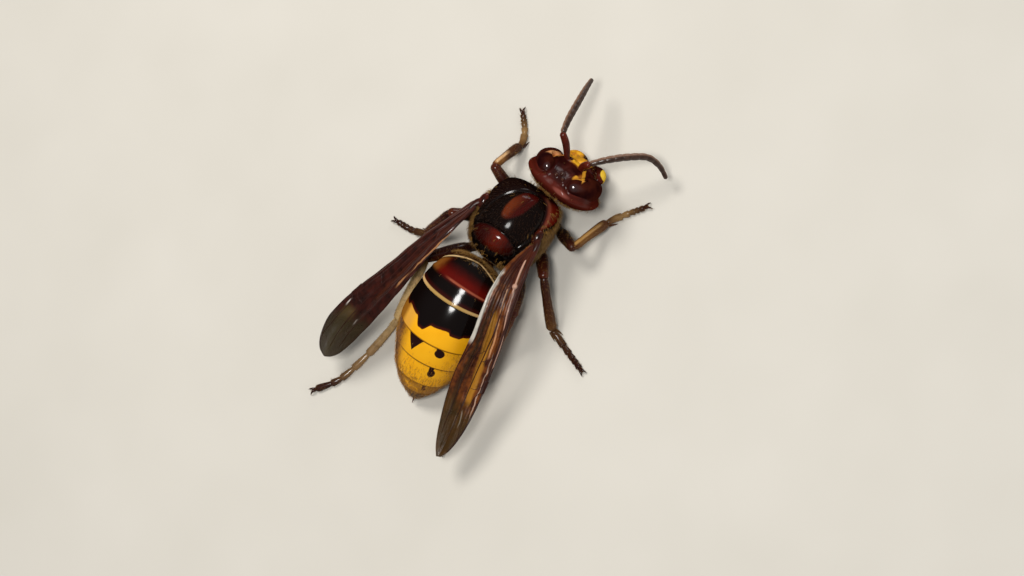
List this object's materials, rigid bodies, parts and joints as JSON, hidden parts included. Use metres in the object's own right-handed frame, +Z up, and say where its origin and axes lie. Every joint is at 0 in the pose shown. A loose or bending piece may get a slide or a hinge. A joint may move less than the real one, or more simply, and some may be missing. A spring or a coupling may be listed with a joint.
{
  "type": "european hornet",
  "caption": "Life-size standing hornet with wings folded beside a banded abdomen, feelers forward and legs spread on the floor.",
  "frame": {"origin": "centre of the outline on the floor, under the feet", "axes": "+Z up, the head looks towards -Y, the hornet's own left side is towards +X"},
  "size_m": [0.0268, 0.0428, 0.0094],
  "materials": {
    "chitin_black": "glossy black horn of the thorax and the first bell",
    "chitin_chestnut": "glossy red-brown horn of the collar, shield and scales",
    "head_shell": "glossy dark red-brown horn with a paler face",
    "eye": "smooth, very dark red-brown",
    "jaw": "satin yellow with dark teeth",
    "feeler_base": "satin red-brown",
    "feeler_whip": "matt grey-brown",
    "gaster_front": "glossy black and red-brown with a pale hind edge",
    "gaster_yellow": "satin yellow with dark markings",
    "leg_shell": "satin dark red-brown",
    "foot_shell": "satin pale brown",
    "wing_film": "thin glossy smoke-brown film"
  },
  "bodies": {
    "root": {"thorax_pronotum": "chitin_chestnut", "thorax_mesothorax": "chitin_black", "thorax_scutellum": "chitin_chestnut", "thorax_propodeum": "chitin_black", "eye_left": "eye", "eye_right": "eye", "head": "head_shell", "mandible_left": "jaw", "mandible_right": "jaw", "neck": "chitin_black", "antenna_scape_left": "feeler_base", "antenna_flagellum_left": "feeler_whip", "antenna_scape_right": "feeler_base", "antenna_flagellum_right": "feeler_whip", "gaster_1": "gaster_front", "gaster_2": "gaster_front", "gaster_3": "gaster_yellow", "gaster_4": "gaster_yellow", "gaster_5": "gaster_yellow", "gaster_6": "gaster_yellow", "tegula_left": "chitin_chestnut", "tegula_right": "chitin_chestnut", "forewing_left": "wing_film", "hindwing_left": "wing_film", "forewing_right": "wing_film", "hindwing_right": "wing_film", "leg_front_left_coxa": "leg_shell", "leg_front_left_femur": "leg_shell", "leg_front_left_tibia": "leg_shell", "leg_front_left_tarsus": "foot_shell", "leg_front_right_coxa": "leg_shell", "leg_front_right_femur": "leg_shell", "leg_front_right_tibia": "leg_shell", "leg_front_right_tarsus": "foot_shell", "leg_middle_left_coxa": "leg_shell", "leg_middle_left_femur": "leg_shell", "leg_middle_left_tibia": "leg_shell", "leg_middle_left_tarsus": "foot_shell", "leg_middle_right_coxa": "leg_shell", "leg_middle_right_femur": "leg_shell", "leg_middle_right_tibia": "leg_shell", "leg_middle_right_tarsus": "foot_shell", "leg_hind_left_coxa": "leg_shell", "leg_hind_left_femur": "leg_shell", "leg_hind_left_tibia": "leg_shell", "leg_hind_left_tarsus": "foot_shell", "leg_hind_right_coxa": "leg_shell", "leg_hind_right_femur": "leg_shell", "leg_hind_right_tibia": "leg_shell", "leg_hind_right_tarsus": "foot_shell"}
  },
  "joints": []
}
